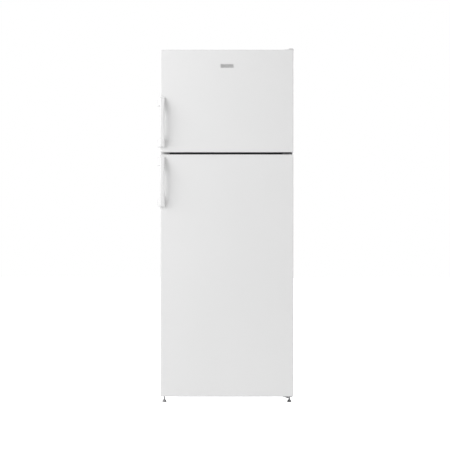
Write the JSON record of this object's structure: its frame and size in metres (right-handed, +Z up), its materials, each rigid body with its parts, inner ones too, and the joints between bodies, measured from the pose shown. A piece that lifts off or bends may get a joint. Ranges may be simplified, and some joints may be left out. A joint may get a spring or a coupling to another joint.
{
  "type": "top freezer refrigerator",
  "caption": "Upright refrigerator with a small freezer door above a tall fridge door, hinged on the right, bow handles on the left, shelves, drawer, racks and rear cooling circuit.",
  "frame": {"origin": "on the floor under the middle of the cabinet", "axes": "+X to the right as seen from the front, +Y from the doors to the back, +Z up"},
  "size_m": [0.7165, 0.7331, 1.872],
  "materials": {
    "door_enamel": "satin",
    "door_cap": "satin",
    "handle_plastic": "satin",
    "badge_metal": "brushed",
    "cabinet_enamel": "satin",
    "mullion_paint": "dark satin",
    "plain_steel": "galvanised",
    "bracket_steel": "zinc plated",
    "black_metal": "black enamel",
    "liner_plastic": "semi gloss",
    "clear_plastic": "clear",
    "trim_plastic": "satin",
    "shelf_glass": "clear",
    "foam": "foamed",
    "gasket_vinyl": "matte",
    "black_rubber": "matte",
    "copper": "bare copper",
    "aluminium": "mill",
    "grey_plastic": "matte",
    "foot_plastic": "matte",
    "dark_plastic": "matte"
  },
  "bodies": {
    "cabinet": {"outer_shell": "cabinet_enamel", "rear_panel": "cabinet_enamel", "base_pan": "plain_steel", "cabinet_foam": "foam", "freezer_liner": "liner_plastic", "fridge_liner": "liner_plastic", "mullion_cover": "mullion_paint", "compressor_tray": "plain_steel", "compressor": "black_metal", "compressor_grommets": "black_rubber", "condenser": "black_metal", "refrigerant_pipes": "copper", "defrost_drain": "grey_plastic", "evaporator": "aluminium", "evaporator_cover": "liner_plastic", "fan_motor": "dark_plastic", "fridge_air_duct": "trim_plastic", "control_box": "trim_plastic", "upper_shelf_glass": "shelf_glass", "lower_shelf_glass": "shelf_glass", "shelf_trims": "trim_plastic", "crisper_cover": "trim_plastic", "freezer_shelf": "trim_plastic", "ice_tray_frame": "trim_plastic", "top_hinge": "bracket_steel", "middle_hinge": "bracket_steel", "bottom_hinge": "bracket_steel", "left_foot_bracket": "bracket_steel", "hinge_screws": "plain_steel", "top_hinge_cover": "door_cap", "power_inlet": "dark_plastic", "bay_cover": "plain_steel"},
    "freezer_door": {"freezer_door_skin": "door_enamel", "freezer_door_caps": "door_cap", "freezer_door_foam": "foam", "freezer_door_liner": "liner_plastic", "freezer_door_gasket": "gasket_vinyl", "freezer_door_handle": "handle_plastic", "freezer_door_badge": "badge_metal", "freezer_upper_bin": "clear_plastic", "freezer_lower_bin": "clear_plastic"},
    "fridge_door": {"fridge_door_skin": "door_enamel", "fridge_door_caps": "door_cap", "fridge_door_foam": "foam", "fridge_door_liner": "liner_plastic", "fridge_door_gasket": "gasket_vinyl", "fridge_door_handle": "handle_plastic", "fridge_dairy_rack": "clear_plastic", "fridge_middle_rack": "clear_plastic", "fridge_bottle_rack": "clear_plastic"},
    "dairy_lid": {"dairy_lid": "clear_plastic"},
    "evaporator_fan": {"evaporator_fan": "dark_plastic"},
    "thermostat_knob": {"thermostat_knob": "trim_plastic"},
    "airflow_slider": {"airflow_slider": "grey_plastic"},
    "crisper_drawer": {"crisper_drawer": "clear_plastic"},
    "ice_tray": {"ice_tray": "trim_plastic"},
    "left_foot": {"left_foot": "foot_plastic"},
    "right_foot": {"right_foot": "foot_plastic"},
    "left_roller": {"left_roller": "dark_plastic"},
    "right_roller": {"right_roller": "dark_plastic"}
  },
  "joints": [
    {"name": "freezer_door_hinge", "type": "hinge", "parent": "cabinet", "child": "freezer_door", "pos_m": [0.333, -0.3, 1.594], "axis": [0, 0, 1], "range_deg": [0, 125]},
    {"name": "fridge_door_hinge", "type": "hinge", "parent": "cabinet", "child": "fridge_door", "pos_m": [0.333, -0.3, 0.678], "axis": [0, 0, 1], "range_deg": [0, 125]},
    {"name": "dairy_lid_hinge", "type": "hinge", "parent": "fridge_door", "child": "dairy_lid", "pos_m": [0, -0.2604, 1.1546], "axis": [1, 0, 0], "range_deg": [0, 60]},
    {"name": "evaporator_fan_spin", "type": "hinge", "parent": "cabinet", "child": "evaporator_fan", "pos_m": [0, 0.206, 1.708], "axis": [0, 1, 0], "continuous": true},
    {"name": "thermostat_knob_turn", "type": "hinge", "parent": "cabinet", "child": "thermostat_knob", "pos_m": [0.078, -0.128, 1.255], "axis": [0, 1, 0], "range_deg": [0, 270]},
    {"name": "airflow_slide", "type": "slide", "parent": "cabinet", "child": "airflow_slider", "axis": [1, 0, 0], "range_m": [-0.04, 0.04]},
    {"name": "crisper_slide", "type": "slide", "parent": "cabinet", "child": "crisper_drawer", "axis": [0, -1, 0], "range_m": [0, 0.012]},
    {"name": "ice_tray_twist", "type": "hinge", "parent": "cabinet", "child": "ice_tray", "pos_m": [-0.186, 0.002, 1.65], "axis": [0, 1, 0], "range_deg": [0, 120]},
    {"name": "left_foot_screw", "type": "slide", "parent": "cabinet", "child": "left_foot", "axis": [0, 0, 1], "range_m": [-0.012, 0]},
    {"name": "right_foot_screw", "type": "slide", "parent": "cabinet", "child": "right_foot", "axis": [0, 0, 1], "range_m": [-0.012, 0]},
    {"name": "left_roller_spin", "type": "hinge", "parent": "cabinet", "child": "left_roller", "pos_m": [-0.292, 0.3, 0.022], "axis": [1, 0, 0], "continuous": true},
    {"name": "right_roller_spin", "type": "hinge", "parent": "cabinet", "child": "right_roller", "pos_m": [0.292, 0.3, 0.022], "axis": [1, 0, 0], "continuous": true}
  ]
}
